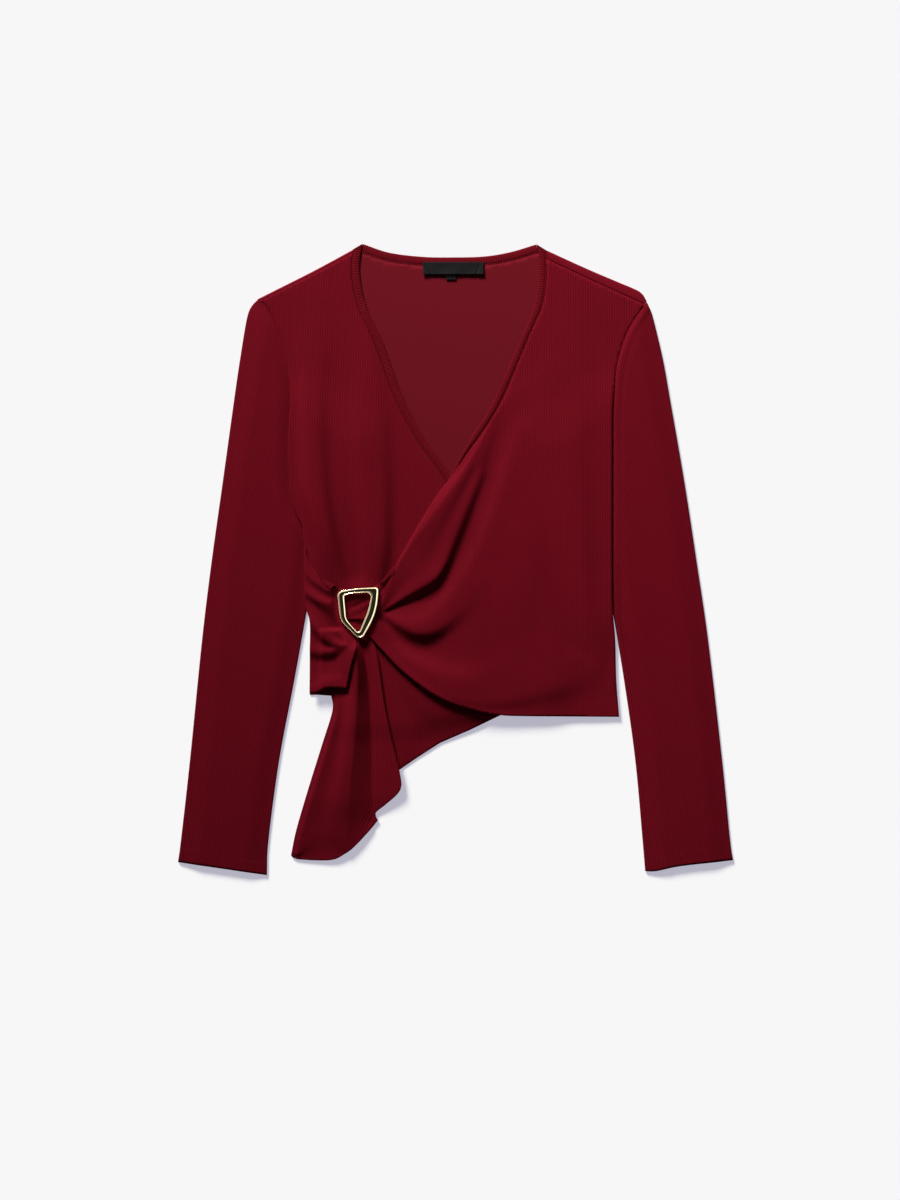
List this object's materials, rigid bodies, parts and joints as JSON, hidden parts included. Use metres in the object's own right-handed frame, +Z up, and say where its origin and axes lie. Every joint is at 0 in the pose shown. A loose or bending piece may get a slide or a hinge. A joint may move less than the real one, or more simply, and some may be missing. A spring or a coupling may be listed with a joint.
{
  "type": "ring-gathered long-sleeved wrap top",
  "caption": "Long-sleeved V-neck wrap top in fine rib jersey, laid flat, gathered at one side of the waist through a shield-shaped metal ring, with a free tail below it.",
  "frame": {"origin": "middle of the laid-out top's outline, on the surface it lies on", "axes": "+Y from the hem to the neck, +X towards the side of the over-front's shoulder (the right when seen from above with the neck away), +Z up from the surface"},
  "size_m": [0.5716, 0.6499, 0.0138],
  "materials": {
    "jersey": "matte fine rib knit, dark wine red",
    "jersey_back": "matte fine rib knit, inner side of the back, dark wine red",
    "rib": "matte rib binding, dark wine red",
    "ring": "polished pale gold plating",
    "label": "black woven label, bare"
  },
  "bodies": {
    "root": {"back": "jersey_back", "neck_band_back": "rib", "neck_band_over": "rib", "neck_band_under": "rib", "neck_label": "label", "over_front": "jersey", "ring": "ring", "size_tab": "label", "sleeve_left": "jersey", "sleeve_right": "jersey", "tail": "jersey", "under_front": "jersey"}
  },
  "joints": []
}
